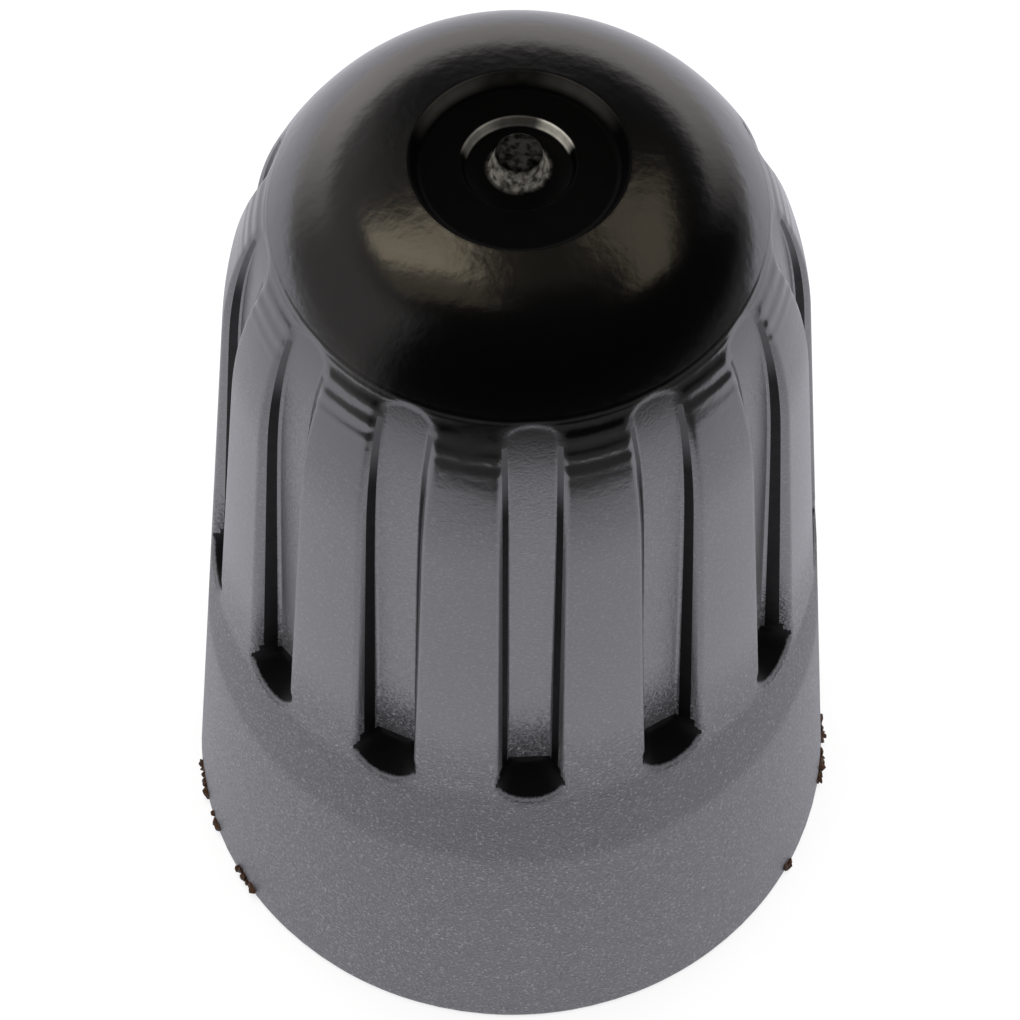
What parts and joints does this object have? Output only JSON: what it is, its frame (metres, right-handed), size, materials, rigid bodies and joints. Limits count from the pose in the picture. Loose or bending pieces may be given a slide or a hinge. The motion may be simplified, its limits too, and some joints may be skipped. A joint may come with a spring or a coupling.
{
  "type": "tyre valve cap",
  "caption": "Tall black plastic tyre valve cap with a fluted grip, domed crown, threaded mouth and a rubber seal inside.",
  "frame": {"origin": "centre of the mouth, on the plane of its rim", "axes": "+Z along the cap's axis towards the dome, -Y through the middle of one flute"},
  "size_m": [0.0104, 0.0102, 0.0158],
  "materials": {
    "cap_plastic": "gloss black on the dome, satin on the flutes, fine matt grain on the skirt",
    "seal_rubber": "matt black rubber"
  },
  "bodies": {
    "root": {"cap": "cap_plastic", "seal_ring": "seal_rubber"}
  },
  "joints": []
}
